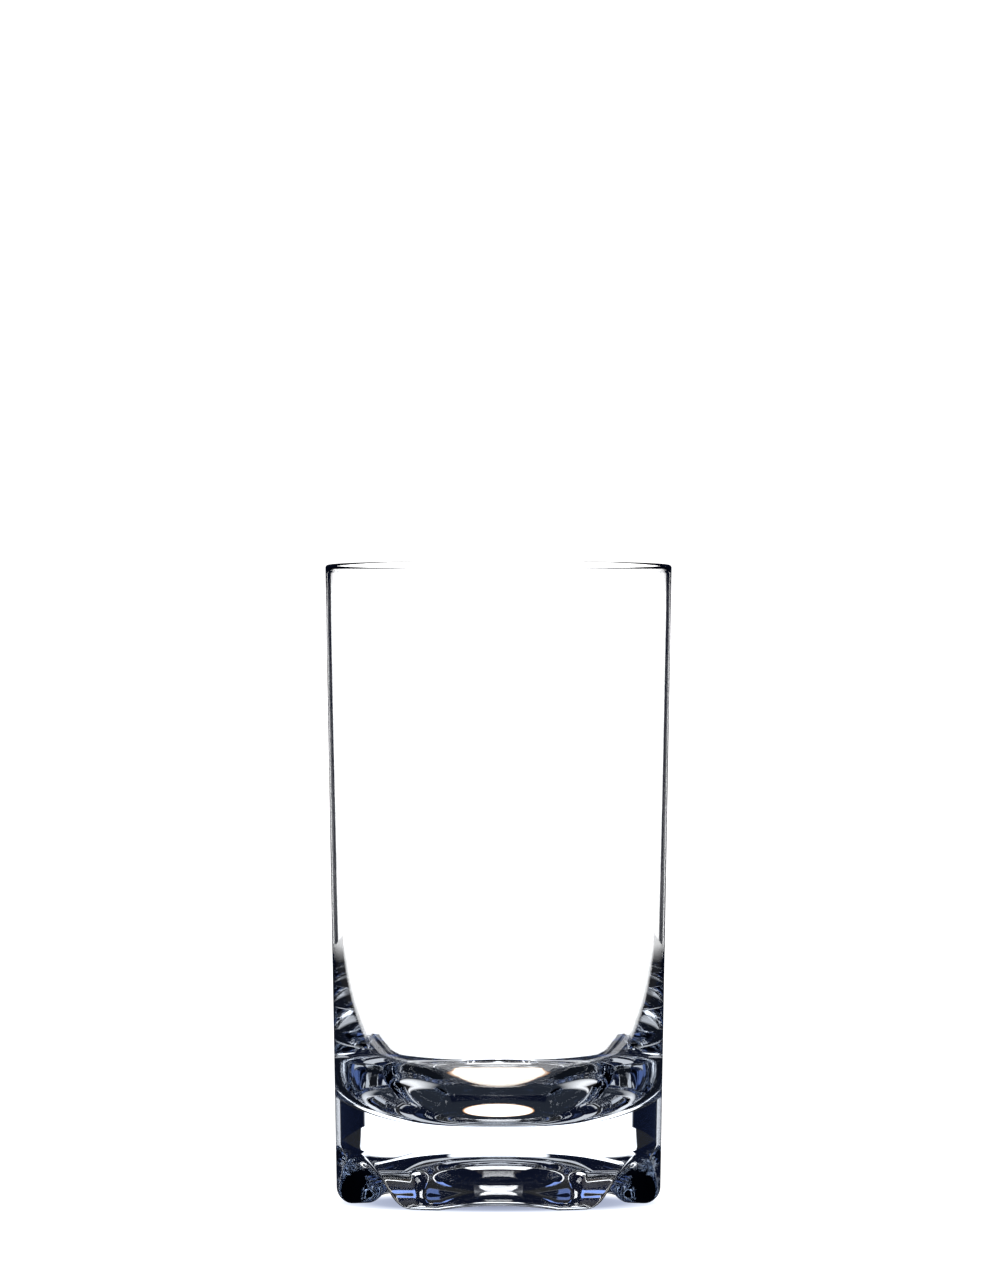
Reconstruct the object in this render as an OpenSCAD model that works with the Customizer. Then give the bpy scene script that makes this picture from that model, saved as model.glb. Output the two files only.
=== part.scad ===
// Clear whiskey tumbler: a round drafted vessel moulded in one piece, with a thick solid base
// that stands on rounded lobes.
// Origin: centre of the contact plane under the lobes. +Z runs up to the rim.
// One lobe faces -Y. All sizes are in millimetres and all angles in degrees.

/* [Overall] */
// Height from the table to the top of the rim
height = 129; // [95:1:170]
// Outer diameter at the rim
rim_d = 70; // [64:0.5:90]
// Outer diameter that the straight wall would reach at the table
base_d = 65.4; // [62:0.2:88]

/* [Wall and cavity] */
// Thickness of the wall at the rim and over the upper part of the vessel
rim_wall = 1.2; // [0.8:0.1:2]
// Distance below the rim over which the wall keeps the rim's thickness
thin_run = 28; // [15:1:36]
// How much more the inner wall leans than the outer wall does, below the thin stretch
wall_draft = 0.98; // [0.4:0.02:1.8]
// Lean of the inner wall, from vertical, where its long curve meets the corner
corner_lean = 15.9; // [13:0.1:20]
// Radius of the corner between the wall and the bowl's flank
corner_r = 9.2; // [5:0.2:13]
// Lean of the flank where it meets the corner
flank_lean = 32.8; // [30:0.1:34.5]
// Radius of the flank, which is nearly straight
flank_r = 64; // [40:1:90]
// Lean of the flank where it meets the bowl
bowl_lean = 37.1; // [35:0.1:40]
// Radius of the bowl, between the flank and the floor's flat middle
bowl_r = 21.4; // [17:0.1:22.5]
// Radius of the floor's flat middle
floor_flat = 7.3; // [5:0.1:8.5]
// Height of the floor's flat middle
floor_z = 16.3; // [14:0.1:22]

/* [Foot] */
// Number of lobes that the vessel stands on
lobes = 3; // [3:1:4]
// Height of the arched notch between two lobes
notch_h = 7.8; // [4:0.1:10]
// Width of a notch where it meets the table
notch_w = 22; // [14:0.2:26]
// Height of the domed recess under the base
recess_h = 10.9; // [5:0.1:12.5]
// Diameter of the recess where it meets the table
recess_d = 49.8; // [38:0.2:54]
// Exponent of the recess's dome: 2 is a parabola, more is flatter on top
recess_power = 2.85; // [2:0.05:4]
// Radius of the rounded outer edge of the foot
foot_round = 3.2; // [1:0.1:4.4]
// Height of the shallow hollow under the middle of each lobe
hollow_h = 1.1; // [0.4:0.1:2]
// Width of that hollow, which leaves a flat pad on each side of it
hollow_w = 20; // [12:0.5:22]

/* [Hidden] */
$fn = 96;
clear_cut = 1;       // how far a cutting solid runs past the face that it opens
outline_steps = 20;  // straight steps in a curve that follows a formula
arc_steps = 12;      // straight steps in each arc of the cavity's outline

rim_r = rim_d / 2;
base_r = base_d / 2;
rim_round = rim_wall / 2;

// Outer radius of the straight drafted wall at height z
function outer_r(z) = base_r + (rim_r - base_r) * z / height;

// Point on an arc of radius r about centre, where lean is the tangent's angle from vertical
function arc_point(centre, r, lean) = centre + r * [cos(lean), -sin(lean)];

// Lean of the inner wall from vertical, so that the wall thickens downwards at any taper
inner_draft = atan((rim_r - base_r) / height) + wall_draft;

// The cavity's outline, as [radius, height], is a flat floor, four tangent arcs and a straight wall.
// Centre of an arc of radius r that passes through a point where its tangent has the given lean.
function arc_centre(point, r, lean) = point - r * [cos(lean), -sin(lean)];

floor_end = [floor_flat, floor_z];
bowl_centre = arc_centre(floor_end, bowl_r, 90);
bowl_end = arc_point(bowl_centre, bowl_r, bowl_lean);
flank_centre = arc_centre(bowl_end, flank_r, bowl_lean);
flank_end = arc_point(flank_centre, flank_r, flank_lean);
corner_centre = arc_centre(flank_end, corner_r, flank_lean);
corner_end = arc_point(corner_centre, corner_r, corner_lean);
// Inner wall: straight from the end of the thin stretch, leaning by inner_draft.
thin_z = height - thin_run;
thin_end = [outer_r(thin_z) - rim_wall, thin_z];
function inner_r(z) = thin_end[0] - (thin_z - z) * tan(inner_draft);
// Long curve: tangent to the corner's end and to the straight inner wall.
curve_gap = (inner_r(corner_end[1]) - corner_end[0]) * cos(inner_draft);
curve_r = curve_gap / (1 - cos(corner_lean - inner_draft));
curve_centre = arc_centre(corner_end, curve_r, corner_lean);

// A notch's outline: a parabola across the groove, carried on below the table
function notch_z(x) = notch_h * (1 - pow(2 * x / notch_w, 2));
notch_reach = sqrt(1 + clear_cut / notch_h);

// The recess's dome above the table
recess_r = recess_d / 2;
function recess_z(r) = recess_h * (1 - pow(r / recess_r, recess_power));

// Radius of the wide cylinder that hollows the middle of a lobe
hollow_r = (pow(hollow_w / 2, 2) + pow(hollow_h, 2)) / (2 * hollow_h);

// The vessel's outer form, solid to the rim
module outer_solid() {
    foot_r = outer_r(foot_round);
    rotate_extrude() {
        polygon([
            [0, 0], [foot_r - foot_round, 0], [foot_r - foot_round, foot_round],
            [foot_r, foot_round], [rim_r, height - rim_round], [0, height - rim_round]
        ]);
        translate([foot_r - foot_round, foot_round]) circle(r = foot_round);
    }
}

// Points on an arc from one lean to another, without the first point
function arc_points(centre, r, from_lean, to_lean) = [
    for (i = [1 : arc_steps]) arc_point(centre, r, from_lean + (to_lean - from_lean) * i / arc_steps)
];

// The space for the drink, open at the top
module cavity() {
    rotate_extrude() polygon(concat(
        [[0, height + clear_cut], [rim_r - rim_wall, height + clear_cut],
         [rim_r - rim_wall, height - rim_round], thin_end,
         arc_point(curve_centre, curve_r, inner_draft)],
        arc_points(curve_centre, curve_r, inner_draft, corner_lean),
        arc_points(corner_centre, corner_r, corner_lean, flank_lean),
        arc_points(flank_centre, flank_r, flank_lean, bowl_lean),
        arc_points(bowl_centre, bowl_r, bowl_lean, 90),
        [[0, floor_z]]
    ));
}

// The rounded lip on top of the wall
module lip() {
    rotate_extrude() translate([rim_r - rim_round, height - rim_round]) circle(r = rim_round);
}

// The dome under the base
module recess() {
    dome = [for (i = [0 : outline_steps]) let (r = recess_r * i / outline_steps) [r, recess_z(r)]];
    rotate_extrude() polygon(concat([[0, -clear_cut]], dome, [[recess_r, -clear_cut]]));
}

// An arched groove from the axis out through the wall, towards -Y
module notch() {
    arch = [for (i = [-outline_steps : outline_steps])
        let (x = notch_w / 2 * notch_reach * i / outline_steps) [x, notch_z(x)]];
    rotate([90, 0, 0]) linear_extrude(rim_r + clear_cut) polygon(arch);
}

// The shallow hollow under the middle of the lobe that faces -Y
module lobe_hollow() {
    translate([0, 0, hollow_h - hollow_r]) rotate([90, 0, 0]) cylinder(r = hollow_r, h = rim_r + clear_cut);
}

module tumbler() {
    lobe_step = 360 / lobes;
    color([0.93, 0.96, 1.0, 0.35]) {
        difference() {
            union() {
                outer_solid();
                lip();
            }
            cavity();
            recess();
            for (i = [0 : lobes - 1]) {
                rotate([0, 0, lobe_step * (i + 0.5)]) notch();
                rotate([0, 0, lobe_step * i]) lobe_hollow();
            }
        }
    }
}

tumbler();
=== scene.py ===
"""A clear whiskey tumbler, moulded in one piece, on a pale table whose light and shade are painted by kind
of ray.
"""
import logging
import math
from dataclasses import dataclass, field

import bpy
import numpy as np
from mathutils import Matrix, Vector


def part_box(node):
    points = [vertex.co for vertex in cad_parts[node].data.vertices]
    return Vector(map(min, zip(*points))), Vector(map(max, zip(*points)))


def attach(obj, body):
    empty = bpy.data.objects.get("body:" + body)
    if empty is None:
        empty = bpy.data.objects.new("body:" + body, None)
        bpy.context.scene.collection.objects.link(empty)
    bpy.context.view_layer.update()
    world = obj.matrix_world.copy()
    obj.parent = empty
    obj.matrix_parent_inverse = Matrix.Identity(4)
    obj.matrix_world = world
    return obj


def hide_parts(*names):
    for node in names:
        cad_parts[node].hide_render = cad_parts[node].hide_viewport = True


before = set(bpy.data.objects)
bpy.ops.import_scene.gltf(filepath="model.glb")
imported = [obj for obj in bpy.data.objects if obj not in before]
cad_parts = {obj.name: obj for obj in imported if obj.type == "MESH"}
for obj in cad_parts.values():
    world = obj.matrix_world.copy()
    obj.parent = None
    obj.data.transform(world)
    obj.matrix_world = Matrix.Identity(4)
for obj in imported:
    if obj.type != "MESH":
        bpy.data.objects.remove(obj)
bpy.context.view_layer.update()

LOG = logging.getLogger("tumbler")
MM = 0.001
BODY = "root"
NODE = "tumbler"
GLASS_BOUNCES = 32
MIRROR_BOUNCES = 16
MATH = "ShaderNodeMath"
BYTE_MAX = 255.0
SRGB_KNEE = 0.04045
SRGB_SLOPE = 12.92
SRGB_OFFSET = 0.055
SRGB_POWER = 2.4

Light = tuple[float, float, float]
Stops = tuple[tuple[float, Light], ...]
BLACK: Light = (0.0, 0.0, 0.0)


def linear_colour(hex_code: str) -> tuple[float, float, float, float]:
    """Turns an sRGB hex value into the linear colour that a shader takes.

    Args:
        hex_code: Six hex digits, such as "DFE8F2".

    Returns:
        Red, green, blue and an alpha of one, linear.
    """
    channels = []
    for start in (0, 2, 4):
        value = int(hex_code[start:start + 2], 16) / BYTE_MAX
        if value <= SRGB_KNEE:
            channels.append(value / SRGB_SLOPE)
        else:
            channels.append(((value + SRGB_OFFSET) / (1 + SRGB_OFFSET)) ** SRGB_POWER)
    return (channels[0], channels[1], channels[2], 1.0)


def add_node(tree: bpy.types.NodeTree, kind: str, settings: dict | None = None,
             links: dict | None = None) -> bpy.types.Node:
    """Adds one node with its settings and its links.

    Args:
        tree: The node tree that takes the node.
        kind: Blender's name for the node's type.
        settings: Values by input number, input name or property name.
        links: Output sockets by the number or name of the input that each one feeds.

    Returns:
        The new node.
    """
    node = tree.nodes.new(kind)
    for name, value in (settings or {}).items():
        if isinstance(name, int) or name in node.inputs:
            node.inputs[name].default_value = value
        else:
            setattr(node, name, value)
    for name, socket in (links or {}).items():
        tree.links.new(socket, node.inputs[name])
    return node


def smooth_max(first: np.ndarray, second: np.ndarray, blend: float) -> np.ndarray:
    """Takes the higher of two heights and rounds the crease between them.

    Args:
        first: Heights of one surface.
        second: Heights of the other surface.
        blend: Height difference over which the two run together.

    Returns:
        The joined heights.
    """
    share = np.clip(0.5 + 0.5 * (first - second) / blend, 0, 1)
    return second * (1 - share) + first * share + blend * share * (1 - share)


@dataclass(frozen=True)
class OuterWall:
    """The straight, slightly drafted outside of the vessel. Sizes in millimetres."""

    height: float
    rim_radius: float
    foot_radius: float = 32.7
    lip_radius: float = 0.6
    foot_round: float = 3.2

    def radius(self, z: np.ndarray) -> np.ndarray:
        """Gives the outer radius at height z."""
        return self.foot_radius + (self.rim_radius - self.foot_radius) * z / self.height

    @property
    def lip_start(self) -> float:
        """Height at which the wall turns into the rounded lip."""
        return self.height - self.lip_radius


@dataclass(frozen=True)
class Arc:
    """One arc of the cavity's outline, from the arc below it upwards. Millimetres and degrees."""

    radius: float
    top_lean: float


@dataclass(frozen=True)
class Cavity:
    """The space for the drink: a thin upper wall, a long curve, a corner and a bowl. Millimetres."""

    wall: OuterWall
    rim_wall: float = 1.2
    thin_run: float = 28.0
    inner_draft: float = 2.0
    floor_height: float = 16.3
    floor_flat: float = 7.3
    bowl: Arc = Arc(21.4, 37.1)
    flank: Arc = Arc(64.0, 32.8)
    corner: Arc = Arc(9.2, 15.9)
    lip_run: float = 1.0
    arc_rings: int = 34

    def arc(self, centre: np.ndarray, radius: float, first: float, last: float) -> np.ndarray:
        """Gives points on an arc of the outline.

        Args:
            centre: The arc's centre as radius and height.
            radius: The arc's radius.
            first: Lean of the tangent from vertical where the arc starts, in degrees.
            last: Lean of the tangent where it ends.

        Returns:
            One row of radius and height for each point after the first.
        """
        lean = np.radians(np.linspace(first, last, self.arc_rings + 1)[1:])
        return centre + radius * np.stack([np.cos(lean), -np.sin(lean)], axis=1)

    def outline(self) -> np.ndarray:
        """Works out the outline, each arc tangent to the next.

        Returns:
            Rows of radius and height, from the lip down to the floor's flat middle.
        """
        point = np.array([self.floor_flat, self.floor_height])
        lean = 90.0
        rows = [point[np.newaxis]]
        for arc in (self.bowl, self.flank, self.corner):
            turn = math.radians(lean)
            centre = point - arc.radius * np.array([math.cos(turn), -math.sin(turn)])
            rows.append(self.arc(centre, arc.radius, lean, arc.top_lean))
            point, lean = rows[-1][-1], arc.top_lean
        turn, draft = math.radians(lean), math.radians(self.inner_draft)
        thin_end = self.wall.height - self.thin_run
        thin_radius = float(self.wall.radius(thin_end)) - self.rim_wall
        gap = thin_radius - (thin_end - point[1]) * math.tan(draft) - point[0]
        curve = gap * math.cos(draft) / (1 - math.cos(turn - draft))
        centre = point - curve * np.array([math.cos(turn), -math.sin(turn)])
        rows.append(self.arc(centre, curve, lean, self.inner_draft))
        lip_radius = self.wall.rim_radius - self.rim_wall
        rows.append(np.array([[thin_radius, thin_end], [lip_radius, self.wall.lip_start - self.lip_run]]))
        return np.vstack(rows)[::-1]


@dataclass(frozen=True)
class Foot:
    """The underside: a domed recess, three arched notches and three lobes to stand on. Millimetres."""

    lobes: int = 3
    dome_height: float = 10.9
    dome_radius: float = 24.9
    dome_power: float = 2.85
    notch_height: float = 7.8
    notch_half: float = 11.0
    notch_blend: float = 1.5
    hollow_height: float = 1.1
    hollow_half: float = 12.0
    foot_blend: float = 1.6
    below: float = -4.0
    groove_end: float = -0.2

    def height(self, radius: np.ndarray, angle: np.ndarray) -> np.ndarray:
        """Gives the underside's height above the table.

        Args:
            radius: Distances from the axis.
            angle: Angles about the axis from the middle of the front lobe, in radians.

        Returns:
            Heights of the glass above the table.
        """
        z = self.dome_height * (1 - (np.abs(radius) / self.dome_radius) ** self.dome_power)
        step = 2 * math.pi / self.lobes
        for index in range(self.lobes):
            turn = angle - step * (index + 0.5)
            across = radius * np.sin(turn)
            arch = self.notch_height * (1 - (across / self.notch_half) ** 2)
            z = smooth_max(z, np.where(np.cos(turn) > self.groove_end, arch, self.below), self.notch_blend)
        hollow = np.zeros_like(z)
        for index in range(self.lobes):
            turn = angle - step * index
            across = radius * np.sin(turn)
            rise = self.hollow_height * np.clip(1 - (across / self.hollow_half) ** 2, 0, None)
            hollow = np.maximum(hollow, np.where(np.cos(turn) > 0, rise, 0))
        return smooth_max(np.clip(z, self.below, None), hollow, self.foot_blend)


@dataclass(frozen=True)
class ClearGlass:
    """Soda-lime glass pressed in a mould and fire-polished.

    It gives the eye sharp refraction with black edges, bright lines along each rounded edge and a
    faint blue where the light's way through it is long. Its index is above soda-lime's usual 1.52:
    it is matched to where light and dark fall in the thick base. The ripple is the slight
    unevenness that fire-polishing leaves.
    """

    name: str = "soda_lime_glass_pressed_fire_polished"
    ior: float = 1.585
    depth_colour: str = "D6E6FA"
    depth_density: float = 9.0
    ripple_mm: float = 14.0
    ripple_height_mm: float = 0.01

    def material(self) -> bpy.types.Material:
        """Builds the glass as a node material.

        Returns:
            The material, with its absorption in depth.
        """
        material = bpy.data.materials.new(self.name)
        material.use_nodes = True
        tree = material.node_tree
        tree.nodes.clear()
        place = add_node(tree, "ShaderNodeTexCoord")
        ripple = add_node(tree, "ShaderNodeTexNoise", {"Scale": 1 / (self.ripple_mm * MM), "Detail": 1.0},
                          {"Vector": place.outputs["Object"]})
        bump = add_node(tree, "ShaderNodeBump", {"Strength": 1.0, "Distance": self.ripple_height_mm * MM},
                        {"Height": ripple.outputs["Fac"]})
        glass = add_node(tree, "ShaderNodeBsdfPrincipled", {
            "Base Color": (1.0, 1.0, 1.0, 1.0), "Roughness": 0.0, "IOR": self.ior,
            "Transmission Weight": 1.0}, {"Normal": bump.outputs["Normal"]})
        depth = add_node(tree, "ShaderNodeVolumeAbsorption",
                         {"Color": linear_colour(self.depth_colour), "Density": self.depth_density})
        add_node(tree, "ShaderNodeOutputMaterial", links={
            "Surface": glass.outputs["BSDF"], "Volume": depth.outputs["Volume"]})
        return material


@dataclass
class Tumbler:
    """The vessel, one closed glass skin of rings about the axis."""

    wall: OuterWall
    cavity: Cavity
    foot: Foot
    finish: ClearGlass = field(default_factory=ClearGlass)
    around: int = 320
    foot_rings: int = 90
    round_rings: int = 24
    low_wall_rings: int = 22
    high_wall_rings: int = 10
    low_wall_share: float = 0.16
    lip_rings: int = 10

    def angles(self) -> np.ndarray:
        """Gives the angle of each point of a ring from the middle of the front lobe."""
        return np.linspace(0, 2 * math.pi, self.around, endpoint=False)

    def ring(self, radius: np.ndarray, z: np.ndarray) -> np.ndarray:
        """Places one ring of points; angle zero faces -Y.

        Args:
            radius: One radius, or one for each point.
            z: One height, or one for each point.

        Returns:
            One row of X, Y and Z for each point.
        """
        turn = self.angles() - math.pi / 2
        radius = np.broadcast_to(radius, turn.shape)
        z = np.broadcast_to(z, turn.shape)
        return np.stack([radius * np.cos(turn), radius * np.sin(turn), z], axis=1)

    def underside(self) -> list[np.ndarray]:
        """Makes the rings of the recess, the notches and the lobes.

        Returns:
            The rings, from the middle outwards.
        """
        inner = float(self.wall.radius(0.0)) - self.wall.foot_round
        rings = []
        for share in np.linspace(0, 1, self.foot_rings + 1)[1:]:
            radius = np.full(self.around, inner * share)
            rings.append(self.ring(radius, self.foot.height(radius, self.angles())))
        return rings

    def foot_edge(self) -> list[np.ndarray]:
        """Makes the rings of the rounded outer edge, which follows the lobes and notches.

        Returns:
            The rings, from the underside out and up to the wall.
        """
        rounding = self.wall.foot_round
        rings = []
        for share in np.linspace(0, 1, self.round_rings + 1)[1:]:
            turn = share * math.pi / 2
            rise = rounding * (1 - math.cos(turn))
            radius = self.wall.radius(0.0) - rounding * (1 - math.sin(turn))
            z = self.foot.height(np.full(self.around, radius), self.angles()) + rise
            radius = self.wall.radius(z) - rounding * (1 - math.sin(turn))
            rings.append(self.ring(radius, z))
        return rings

    def outside(self, start: np.ndarray) -> list[np.ndarray]:
        """Makes the rings of the outer wall up to the lip, and the lip itself.

        Args:
            start: Height of the wall's lower edge at each angle.

        Returns:
            The rings, from the bottom up and over the lip.
        """
        low = np.linspace(0, self.low_wall_share, self.low_wall_rings + 1)[1:]
        high = np.linspace(self.low_wall_share, 1, self.high_wall_rings + 1)[1:]
        rings = []
        for share in np.concatenate([low, high]):
            z = start + (self.wall.lip_start - start) * share
            rings.append(self.ring(self.wall.radius(z), z))
        centre = self.wall.rim_radius - self.wall.lip_radius
        for turn in np.linspace(0, math.pi, self.lip_rings + 1)[1:]:
            radius = centre + self.wall.lip_radius * math.cos(turn)
            z = self.wall.lip_start + self.wall.lip_radius * math.sin(turn)
            rings.append(self.ring(radius, z))
        return rings

    def rings(self) -> list[np.ndarray]:
        """Makes every ring of the skin.

        Returns:
            The rings, from the middle of the recess, up the outside and down the inside.
        """
        rings = self.underside() + self.foot_edge()
        rings += self.outside(rings[-1][:, 2])
        for radius, z in self.cavity.outline():
            rings.append(self.ring(radius, z))
        return rings

    def build(self) -> bpy.types.Object:
        """Builds the vessel's mesh and dresses it.

        Returns:
            The finished object.
        """
        rings = self.rings()
        middle = self.foot.height(np.zeros(1), np.zeros(1))[0]
        points = np.vstack([[[0.0, 0.0, middle]]] + rings + [[[0.0, 0.0, self.cavity.floor_height]]])
        here = np.arange(self.around)
        beside = (here + 1) % self.around
        faces = [(0, 1 + int(b), 1 + int(a)) for a, b in zip(here, beside)]
        for index in range(len(rings) - 1):
            low = 1 + index * self.around
            high = low + self.around
            faces += [(low + int(a), low + int(b), high + int(b), high + int(a))
                      for a, b in zip(here, beside)]
        top = len(points) - 1
        low = top - self.around
        faces += [(low + int(a), low + int(b), top) for a, b in zip(here, beside)]
        mesh = bpy.data.meshes.new(NODE)
        mesh.from_pydata((points * MM).tolist(), [], faces)
        mesh.polygons.foreach_set("use_smooth", [True] * len(mesh.polygons))
        mesh.materials.append(self.finish.material())
        mesh.update()
        piece = bpy.data.objects.new("tumbler_glass", mesh)
        bpy.context.scene.collection.objects.link(piece)
        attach(piece, BODY)
        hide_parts(NODE)
        return piece


def span(tree: bpy.types.NodeTree, value: bpy.types.NodeSocket, low: float, high: float,
         soft: float) -> bpy.types.NodeSocket:
    """Gives one where a value lies between two limits, and zero elsewhere.

    Args:
        tree: The node tree that takes the nodes.
        value: The socket to test.
        low: Lower limit.
        high: Upper limit.
        soft: Width over which each limit fades.

    Returns:
        The share, from zero to one.
    """
    half = (high - low) / 2
    off = add_node(tree, MATH, {"operation": "SUBTRACT", 1: (low + high) / 2}, {0: value}).outputs[0]
    off = add_node(tree, MATH, {"operation": "ABSOLUTE"}, {0: off}).outputs[0]
    return add_node(tree, "ShaderNodeMapRange", {"From Min": half + soft / 2, "From Max": half - soft / 2},
                    {"Value": off}).outputs[0]


def shades(tree: bpy.types.NodeTree, reach: bpy.types.NodeSocket, stops: Stops) -> bpy.types.NodeSocket:
    """Gives a colour by distance from a centre.

    Args:
        tree: The node tree that takes the nodes.
        reach: Distance from the centre in metres.
        stops: Distances in millimetres and their linear light.

    Returns:
        The colour.
    """
    last = stops[-1][0]
    share = add_node(tree, "ShaderNodeMapRange", {"From Min": 0.0, "From Max": last * MM}, {"Value": reach})
    ramp = add_node(tree, "ShaderNodeValToRGB", links={"Fac": share.outputs[0]})
    elements = ramp.color_ramp.elements
    for index, (spot, colour) in enumerate(stops):
        stop = elements[index] if index < len(elements) else elements.new(spot / last)
        stop.position = spot / last
        stop.color = (*colour, 1.0)
    return ramp.outputs["Color"]


@dataclass(frozen=True)
class Window:
    """A bright upright opening in the dark surround, as the glass meets it. Angles in degrees.

    straight is its light for rays that only bend on their way through the glass, and turned is
    its light for rays that have also been reflected inside the glass. A folded window stands
    on both sides.
    """

    azimuth: float
    half_width: float
    straight: Light
    turned: Light
    folded: bool = True
    foot: float = -90.0
    top: float = 32.0
    fade: float = 2.0


@dataclass(frozen=True)
class RayLight:
    """What the surround and the table share: light that differs by kind of ray.

    A ray straight from the camera meets white. A ray reflected off the outside of the glass meets
    the dark room. A ray through the glass meets one light if it only bent (straight), another if
    it was reflected inside (turned), and a share of that if it was reflected more than once.
    This isn't how a real lamp behaves: it stands in for black cards and bright fields set up for
    each edge of the glass. soft_edge is in degrees.
    """

    white: float = 1.35
    room: tuple[float, float, float, float] = (0.004, 0.006, 0.016, 1.0)
    deep_light: float = 0.3
    soft_edge: float = 2.0

    def turns(self, tree: bpy.types.NodeTree) -> tuple[bpy.types.NodeSocket, bpy.types.NodeSocket]:
        """Tells how often a ray has been reflected inside the glass.

        Args:
            tree: The node tree that takes the nodes.

        Returns:
            One for a ray that was reflected at all, and the light left to a ray that was reflected
            more than once.
        """
        count = add_node(tree, "ShaderNodeLightPath").outputs["Glossy Depth"]
        turned = add_node(tree, MATH, {"operation": "MINIMUM", 1: 1.0}, {0: count}).outputs[0]
        left = add_node(tree, "ShaderNodeMapRange", {
            "From Min": 1.0, "From Max": 2.0, "To Min": 1.0, "To Max": self.deep_light}, {"Value": count})
        return turned, left.outputs[0]


@dataclass(frozen=True)
class Surround(RayLight):
    """The room around the table: white to the eye, bright windows in the dark through the glass."""

    windows: tuple[Window, ...] = (
        Window(-1.25, 24.75, (2.5, 2.5, 2.5), BLACK, folded=False),
        Window(0.0, 12.0, BLACK, (2.5, 2.5, 2.5)),
        Window(36.0, 11.0, (2.5, 2.5, 2.5), (2.3, 2.3, 2.3), foot=-7.5, top=5.0, fade=6.0),
        Window(61.5, 15.0, BLACK, (2.3, 2.3, 2.3), foot=-4.0, top=4.0, fade=3.0),
        Window(90.0, 14.0, (1.6, 1.6, 1.6), (0.4, 0.6, 1.3)),
        Window(180.0, 14.0, (1.6, 1.6, 1.6), BLACK),
    )
    softbox_low: float = 97.0
    softbox_high: float = 131.0
    softbox_half: float = 16.0
    softbox: tuple[float, float, float, float] = (2.2, 2.2, 2.2, 1.0)

    def window_light(self, tree: bpy.types.NodeTree, total: bpy.types.NodeSocket,
                     axis: bpy.types.NodeOutputs) -> bpy.types.NodeSocket:
        """Adds the windows' light.

        Args:
            tree: The node tree that takes the nodes.
            total: The light so far.
            axis: The ray's direction, by axis.

        Returns:
            The light with all windows in it.
        """
        azimuth = add_node(tree, MATH, {"operation": "ARCTAN2"}, {0: axis["X"], 1: axis["Y"]}).outputs[0]
        folded = add_node(tree, MATH, {"operation": "ABSOLUTE"}, {0: azimuth}).outputs[0]
        rise = add_node(tree, MATH, {"operation": "ARCSINE"}, {0: axis["Z"]}).outputs[0]
        turned, left = self.turns(tree)
        for window in self.windows:
            low, high = (math.radians(window.azimuth + side * window.half_width) for side in (-1, 1))
            wide = span(tree, folded if window.folded else azimuth, low, high, math.radians(self.soft_edge))
            tall = span(tree, rise, math.radians(window.foot), math.radians(window.top),
                        math.radians(window.fade))
            shine = add_node(tree, MATH, {"operation": "MULTIPLY"}, {0: wide, 1: tall}).outputs[0]
            shine = add_node(tree, MATH, {"operation": "MULTIPLY"}, {0: shine, 1: left}).outputs[0]
            colour = add_node(tree, "ShaderNodeMix", {
                "data_type": "RGBA", 6: (*window.straight, 1.0), 7: (*window.turned, 1.0)}, {0: turned})
            total = add_node(tree, "ShaderNodeMix", {"data_type": "RGBA", "blend_type": "ADD"},
                             {0: shine, 6: total, 7: colour.outputs[2]}).outputs[2]
        return total

    def softbox_light(self, tree: bpy.types.NodeTree, total: bpy.types.NodeSocket,
                      axis: bpy.types.NodeOutputs) -> bpy.types.NodeSocket:
        """Adds the light of the softbox overhead.

        Args:
            tree: The node tree that takes the nodes.
            total: The light so far.
            axis: The ray's direction, by axis.

        Returns:
            The light with the softbox in it.
        """
        soft, half = math.radians(self.soft_edge), math.radians(self.softbox_half)
        pitch = add_node(tree, MATH, {"operation": "ARCTAN2"}, {0: axis["Z"], 1: axis["Y"]}).outputs[0]
        aside = add_node(tree, MATH, {"operation": "ARCSINE"}, {0: axis["X"]}).outputs[0]
        over = span(tree, pitch, math.radians(self.softbox_low), math.radians(self.softbox_high), soft)
        wide = span(tree, aside, -half, half, soft)
        shine = add_node(tree, MATH, {"operation": "MULTIPLY"}, {0: over, 1: wide}).outputs[0]
        return add_node(tree, "ShaderNodeMix", {"data_type": "RGBA", "blend_type": "ADD", 7: self.softbox},
                        {0: shine, 6: total}).outputs[2]

    def build(self) -> bpy.types.World:
        """Sets the world.

        Returns:
            The world.
        """
        world = bpy.data.worlds.new("studio")
        bpy.context.scene.world = world
        world.use_nodes = True
        tree = world.node_tree
        tree.nodes.clear()
        place = add_node(tree, "ShaderNodeTexCoord")
        axis = add_node(tree, "ShaderNodeSeparateXYZ", links={0: place.outputs["Generated"]}).outputs
        path = add_node(tree, "ShaderNodeLightPath").outputs
        room = add_node(tree, "ShaderNodeMix", {"data_type": "RGBA", 0: 0.0, 6: self.room}).outputs[2]
        total = self.softbox_light(tree, self.window_light(tree, room, axis), axis)
        entered = add_node(tree, MATH, {"operation": "MINIMUM", 1: 1.0}, {0: path["Transmission Depth"]})
        glass = add_node(tree, "ShaderNodeMix", {"data_type": "RGBA", 6: self.room},
                         {0: entered.outputs[0], 7: total})
        eye = add_node(tree, "ShaderNodeMix", {"data_type": "RGBA", 7: (*(self.white,) * 3, 1.0)},
                       {0: path["Is Camera Ray"], 6: glass.outputs[2]})
        light = add_node(tree, "ShaderNodeBackground", {"Strength": 1.0}, {"Color": eye.outputs[2]})
        add_node(tree, "ShaderNodeOutputWorld", links={"Surface": light.outputs["Background"]})
        return world


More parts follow.
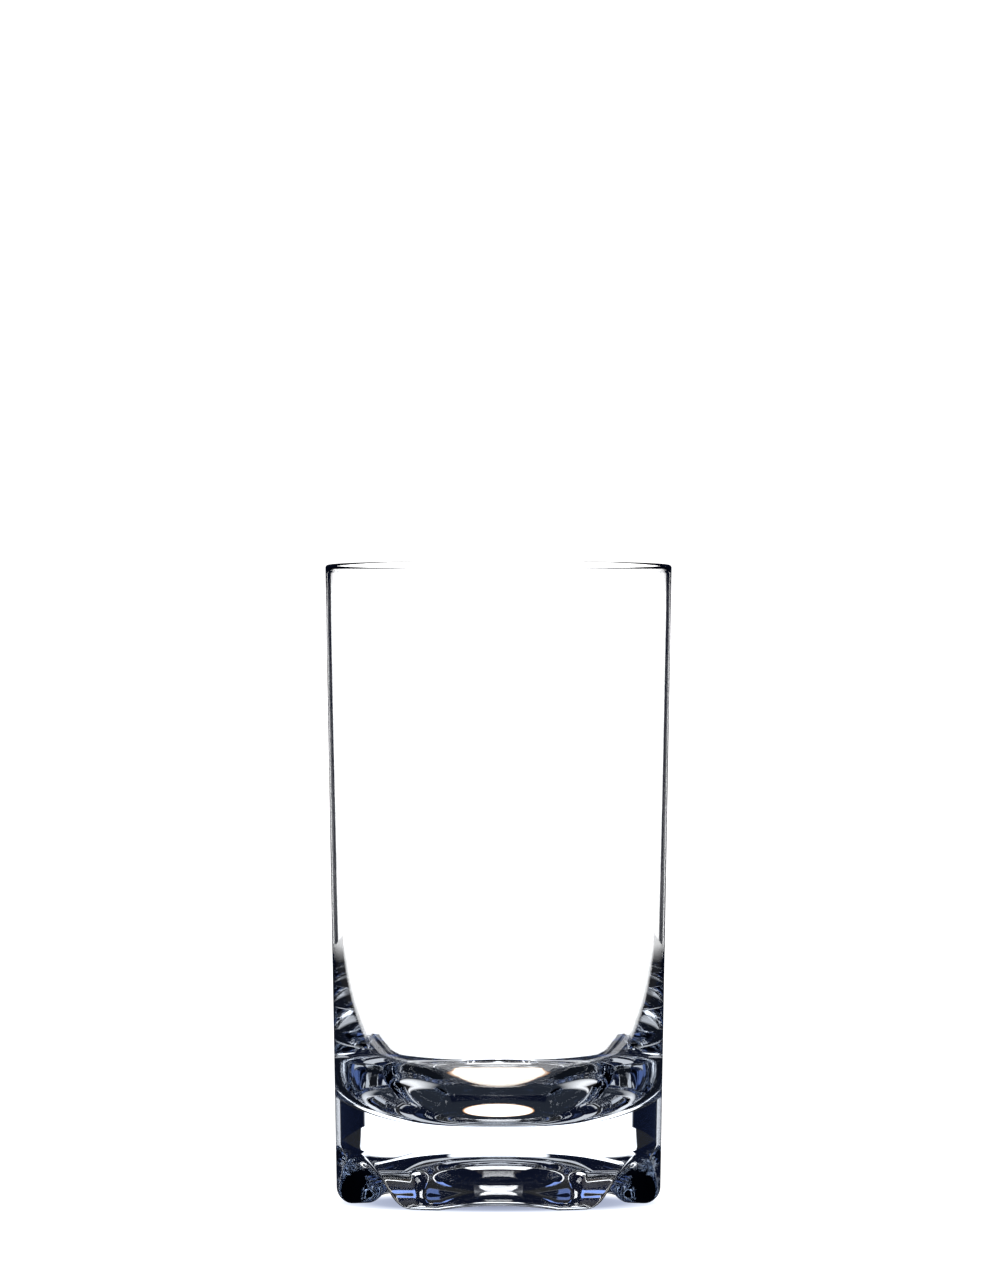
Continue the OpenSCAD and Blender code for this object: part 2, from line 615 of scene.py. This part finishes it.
@dataclass(frozen=True)
class PaintedLightPaper(RayLight):
    """White satin paper that gives off its own light, so that it casts no shadow; the light and shade on it
    are painted.

    It gives the eye an even pale floor with a faint blue painted shadow round the foot. Through the glass
    it shows a painted pool of light in the recess, with a painted warm rim, painted shadow under the lobes
    and bright paper past them, but for painted dark sectors, standing in for black cards, that blacken the
    sides of the thick base. Distances in millimetres, but for table_radius in metres, and angles in
    degrees.
    """

    name: str = "white_satin_paper_painted_light"
    table_radius: float = 0.55
    lit: Light = (2.3, 2.3, 2.3)
    # Painted shadow under the lobes, seen through the glass beyond the painted pool of light.
    painted_shadow_under_lobes: Light = (0.02, 0.025, 0.035)
    # Painted pool of light under the recess, with a painted warm rim and fringe; turned rays see a smaller
    # one nearer the front.
    pool: float = 19.5
    pool_edge: float = 0.7
    painted_pool_rim: Light = (2.2, 2.0, 1.7)
    painted_pool_fringe: Light = (0.9, 0.45, 0.2)
    turned_pool: float = 10.3
    turned_pool_y: float = -8.9
    side_light: float = 0.05
    side_faces: float = 2.0
    # Where the painted shadow under the lobes ends and the paper's light begins.
    lobes_inner: float = 32.0
    lobes_outer: float = 36.0
    # Painted shadow on the table round the foot, bluish and darkest at the middle, seen straight from the
    # camera.
    painted_foot_shadow: Stops = ((0.0, (0.1, 0.12, 0.2)), (25.0, (0.45, 0.5, 0.65)), (31.0, (0.88, 0.93, 1.05)))
    painted_foot_shadow_end: float = 35.0
    # Painted dark sectors on the table, standing in for black cards, seen through the glass.
    far_reach: float = 360.0
    far_edge: float = 1.0
    far_painted_dark: tuple[float, float] = (47.0, 76.0)
    near_edge: float = 2.0
    near_painted_dark: tuple[float, float] = (13.0, 153.0)
    painted_dark_fade: float = 250.0
    painted_dark_leak: float = 0.5
    least_level: float = 0.01

    def painted_light_pool(self, tree: bpy.types.NodeTree, axis: bpy.types.NodeOutputs,
                   turned: bpy.types.NodeSocket) -> bpy.types.NodeSocket:
        """Gives the painted pool of light in the recess, smaller and nearer the front for turned rays.

        Args:
            tree: The node tree that takes the nodes.
            axis: The place on the table, by axis.
            turned: One for a ray that was reflected inside the glass.

        Returns:
            The painted pool's light.
        """
        squeeze = add_node(tree, MATH, {"operation": "MULTIPLY", 1: self.pool / self.turned_pool - 1},
                           {0: turned}).outputs[0]
        squeeze = add_node(tree, MATH, {"operation": "ADD", 1: 1.0}, {0: squeeze}).outputs[0]
        shift = add_node(tree, MATH, {"operation": "MULTIPLY", 1: self.turned_pool_y * MM}, {0: turned})
        along = add_node(tree, MATH, {"operation": "SUBTRACT"}, {0: axis["Y"], 1: shift.outputs[0]})
        across = add_node(tree, MATH, {"operation": "MULTIPLY"}, {0: axis["X"], 1: squeeze})
        along = add_node(tree, MATH, {"operation": "MULTIPLY"}, {0: along.outputs[0], 1: squeeze})
        spot = add_node(tree, "ShaderNodeCombineXYZ", links={"X": across.outputs[0], "Y": along.outputs[0]})
        reach = add_node(tree, "ShaderNodeVectorMath", {"operation": "LENGTH"}, {0: spot.outputs[0]})
        return shades(tree, reach.outputs["Value"], (
            (0.0, self.lit), (self.pool - 2 * self.pool_edge, self.painted_pool_rim),
            (self.pool, self.painted_pool_fringe), (self.pool + self.pool_edge, self.painted_shadow_under_lobes)))

    def painted_dark_sectors(self, tree: bpy.types.NodeTree, axis: bpy.types.NodeOutputs, reach: bpy.types.NodeSocket,
              turned: bpy.types.NodeSocket) -> bpy.types.NodeSocket:
        """Gives the painted dark sectors: a far one for all rays through the glass, a near one for turned
        rays.

        Args:
            tree: The node tree that takes the nodes.
            axis: The place on the table, by axis.
            reach: Distance from the vessel's axis.
            turned: One for a ray that was reflected inside the glass.

        Returns:
            One where the table is painted dark.
        """
        soft = math.radians(self.soft_edge) / 2
        azimuth = add_node(tree, MATH, {"operation": "ARCTAN2"}, {0: axis["X"], 1: axis["Y"]}).outputs[0]
        azimuth = add_node(tree, MATH, {"operation": "ABSOLUTE"}, {0: azimuth}).outputs[0]
        beyond = add_node(tree, "ShaderNodeMapRange", {
            "From Min": self.far_reach * MM, "From Max": (self.far_reach + self.far_edge) * MM},
                          {"Value": reach}).outputs[0]
        far = span(tree, azimuth, *(math.radians(angle) for angle in self.far_painted_dark), soft)
        far = add_node(tree, MATH, {"operation": "MULTIPLY"}, {0: far, 1: beyond}).outputs[0]
        outside = add_node(tree, "ShaderNodeMapRange", {
            "From Min": (self.lobes_outer - self.near_edge) * MM, "From Max": self.lobes_outer * MM},
                           {"Value": reach}).outputs[0]
        fading = add_node(tree, "ShaderNodeMapRange", {
            "From Min": self.painted_dark_fade * MM, "From Max": self.table_radius, "To Max": self.painted_dark_leak},
                          {"Value": reach}).outputs[0]
        kept = add_node(tree, MATH, {"operation": "SUBTRACT", 0: 1.0}, {1: fading}).outputs[0]
        kept = add_node(tree, MATH, {"operation": "MULTIPLY"}, {0: outside, 1: kept}).outputs[0]
        near = span(tree, azimuth, *(math.radians(angle) for angle in self.near_painted_dark), soft)
        near = add_node(tree, MATH, {"operation": "MULTIPLY"}, {0: near, 1: turned}).outputs[0]
        near = add_node(tree, MATH, {"operation": "MULTIPLY"}, {0: near, 1: kept}).outputs[0]
        return add_node(tree, MATH, {"operation": "MAXIMUM"}, {0: near, 1: far}).outputs[0]

    def glass_light(self, tree: bpy.types.NodeTree, axis: bpy.types.NodeOutputs,
                    reach: bpy.types.NodeSocket, turned: bpy.types.NodeSocket) -> bpy.types.NodeSocket:
        """Gives the table's painted light and shade through the glass.

        Args:
            tree: The node tree that takes the nodes.
            axis: The place on the table, by axis.
            reach: Distance from the vessel's axis.
            turned: One for a ray that was reflected inside the glass.

        Returns:
            Painted shadow around the foot plus the painted pool of light, which rays through few faces
            hardly see.
        """
        # Painted shadow under the foot: black inside lobes_inner, the paper's full light past lobes_outer.
        around = shades(tree, reach, (
            (0.0, BLACK), (self.lobes_inner, BLACK), (self.lobes_outer, self.lit)))
        # Rays through few faces of glass, unless turned, see only a faint share of the painted pool of
        # light.
        faces = add_node(tree, "ShaderNodeLightPath").outputs["Transmission Depth"]
        below = add_node(tree, MATH, {"operation": "SUBTRACT", 1: self.side_faces}, {0: faces}).outputs[0]
        below = add_node(tree, MATH, {"operation": "MAXIMUM", 1: self.side_light}, {0: below}).outputs[0]
        below = add_node(tree, MATH, {"operation": "MINIMUM", 1: 1.0}, {0: below}).outputs[0]
        share = add_node(tree, MATH, {"operation": "MAXIMUM"}, {0: below, 1: turned}).outputs[0]
        return add_node(tree, "ShaderNodeMix", {"data_type": "RGBA", "blend_type": "ADD"}, {
            0: share, 6: around, 7: self.painted_light_pool(tree, axis, turned)}).outputs[2]

    def material(self) -> bpy.types.Material:
        """Builds the paper, with its painted light and shade, as a node material.

        Returns:
            The material.
        """
        material = bpy.data.materials.new(self.name)
        material.use_nodes = True
        tree = material.node_tree
        tree.nodes.clear()
        place = add_node(tree, "ShaderNodeNewGeometry").outputs["Position"]
        reach = add_node(tree, "ShaderNodeVectorMath", {"operation": "LENGTH"}, {0: place}).outputs["Value"]
        axis = add_node(tree, "ShaderNodeSeparateXYZ", links={0: place}).outputs
        path = add_node(tree, "ShaderNodeLightPath").outputs
        eye = path["Is Camera Ray"]
        turned, left = self.turns(tree)
        # Painted shadow round the foot, for rays straight from the camera.
        painted_foot_shadow = shades(tree, reach, (*self.painted_foot_shadow, (self.painted_foot_shadow_end, (self.white,) * 3)))
        colour = add_node(tree, "ShaderNodeMix", {"data_type": "RGBA"}, {
            0: eye, 6: self.glass_light(tree, axis, reach, turned), 7: painted_foot_shadow}).outputs[2]
        # Painted dark sectors dim the table's light for rays through the glass.
        painted_dark_share = self.painted_dark_sectors(tree, axis, reach, turned)
        level = add_node(tree, MATH, {"operation": "SUBTRACT", 0: 1.0}, {1: painted_dark_share}).outputs[0]
        level = add_node(tree, MATH, {"operation": "MULTIPLY"}, {0: level, 1: left}).outputs[0]
        level = add_node(tree, MATH, {"operation": "MAXIMUM"}, {0: level, 1: eye}).outputs[0]
        level = add_node(tree, MATH, {"operation": "MAXIMUM", 1: self.least_level}, {0: level}).outputs[0]
        light = add_node(tree, "ShaderNodeEmission", links={"Color": colour, "Strength": level})
        # Painted dark: to rays reflected off the outside of the glass the table shows the dark room's
        # colour.
        painted_dark_in_reflections = add_node(tree, "ShaderNodeEmission", {"Color": self.room, "Strength": 1.0})
        entered = path["Transmission Depth"]
        seen = add_node(tree, MATH, {"operation": "ADD"}, {0: eye, 1: entered}).outputs[0]
        seen = add_node(tree, MATH, {"operation": "MINIMUM", 1: 1.0}, {0: seen}).outputs[0]
        both = add_node(tree, "ShaderNodeMixShader",
                        links={0: seen, 1: painted_dark_in_reflections.outputs[0], 2: light.outputs[0]})
        add_node(tree, "ShaderNodeOutputMaterial", links={"Surface": both.outputs[0]})
        return material


@dataclass(frozen=True)
class Table:
    """The round table top, just under the foot. drop is in millimetres."""

    finish: PaintedLightPaper = PaintedLightPaper()
    points: int = 128
    drop: float = 0.05

    def build(self) -> bpy.types.Object:
        """Builds the table top and dresses it.

        Returns:
            The finished object.
        """
        turn = np.linspace(0, 2 * math.pi, self.points, endpoint=False)
        ring = np.stack([np.cos(turn), np.sin(turn), np.zeros(self.points)], axis=1)
        ring = ring * self.finish.table_radius
        mesh = bpy.data.meshes.new("table")
        mesh.from_pydata((ring - [0, 0, self.drop * MM]).tolist(), [], [tuple(range(self.points))])
        mesh.materials.append(self.finish.material())
        piece = bpy.data.objects.new("table", mesh)
        bpy.context.scene.collection.objects.link(piece)
        return piece


@dataclass(frozen=True)
class Viewpoint:
    """A long lens, just above the middle of the vessel. Metres."""

    distance: float = 3.5
    height: float = 0.212
    aim_height: float = 0.1136
    aside: float = 0.0003
    view_height: float = 0.25896
    sensor: float = 36.0
    near_clip: float = 0.1
    far_clip: float = 100.0

    def place(self) -> None:
        """Makes the camera and gives it to the scene."""
        lens = bpy.data.cameras.new("long_lens")
        lens.sensor_fit = "AUTO"
        lens.sensor_width = self.sensor
        lens.lens = self.sensor * self.distance / self.view_height
        lens.clip_start = self.near_clip
        lens.clip_end = self.far_clip
        camera = bpy.data.objects.new("camera", lens)
        camera.location = (self.aside, -self.distance, self.height)
        pitch = math.atan((self.height - self.aim_height) / self.distance)
        camera.rotation_euler = (math.pi / 2 - pitch, 0.0, 0.0)
        bpy.context.scene.collection.objects.link(camera)
        bpy.context.scene.camera = camera


def main() -> None:
    """Builds the tumbler and its studio, and reports each piece."""
    logging.basicConfig(level=logging.INFO, format="%(name)s: %(message)s")
    low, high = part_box(NODE)
    wall = OuterWall(height=(high[2] - low[2]) / MM, rim_radius=(high[0] - low[0]) / 2 / MM)
    scene = bpy.context.scene
    scene.view_settings.view_transform = "Standard"
    scene.cycles.max_bounces = GLASS_BOUNCES
    scene.cycles.transmission_bounces = GLASS_BOUNCES
    scene.cycles.glossy_bounces = MIRROR_BOUNCES
    Viewpoint().place()
    glass = Tumbler(wall, Cavity(wall), Foot()).build()
    LOG.info("%s: %d faces", glass.name, len(glass.data.polygons))
    LOG.info("%s: surround", Surround().build().name)
    LOG.info("%s", Table().build().name)


if __name__ == "__main__":
    main()
